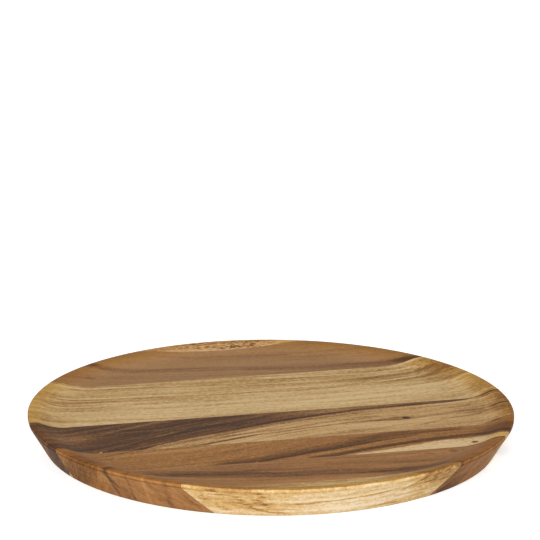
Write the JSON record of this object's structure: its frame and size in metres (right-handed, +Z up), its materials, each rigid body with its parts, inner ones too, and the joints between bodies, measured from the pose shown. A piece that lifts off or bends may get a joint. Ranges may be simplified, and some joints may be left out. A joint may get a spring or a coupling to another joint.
{
  "type": "wooden charger plate",
  "caption": "Round shallow wooden charger plate, turned from edge-glued hardwood staves, with a flared wall, narrow rim and flat recess that carries a dinner plate or serves food.",
  "frame": {"origin": "centre of the flat base, on the plane that the plate rests on", "axes": "+Z up along the axis of turning, +X along the grain and the glue lines, +Y towards the back of the picture"},
  "size_m": [0.33, 0.33, 0.0216],
  "materials": {
    "back_edge_stave": "oiled satin, pale flecked sapwood",
    "back_brown_stave": "oiled satin, even brown heartwood",
    "cream_stave": "oiled satin, cream wood with brown streaks",
    "dark_stave": "oiled satin, dark heartwood passing to tan",
    "veined_stave": "oiled satin, brown with a dark vein and a pale wedge",
    "front_brown_stave": "oiled satin, even brown heartwood",
    "front_edge_stave": "oiled satin, golden sapwood",
    "glue": "cured wood glue, satin"
  },
  "bodies": {
    "root": {"back_edge_stave": "back_edge_stave", "back_brown_stave": "back_brown_stave", "cream_stave": "cream_stave", "dark_stave": "dark_stave", "veined_stave": "veined_stave", "front_brown_stave": "front_brown_stave", "front_edge_stave": "front_edge_stave", "glue_line_1": "glue", "glue_line_2": "glue", "glue_line_3": "glue", "glue_line_4": "glue", "glue_line_5": "glue", "glue_line_6": "glue"}
  },
  "joints": []
}
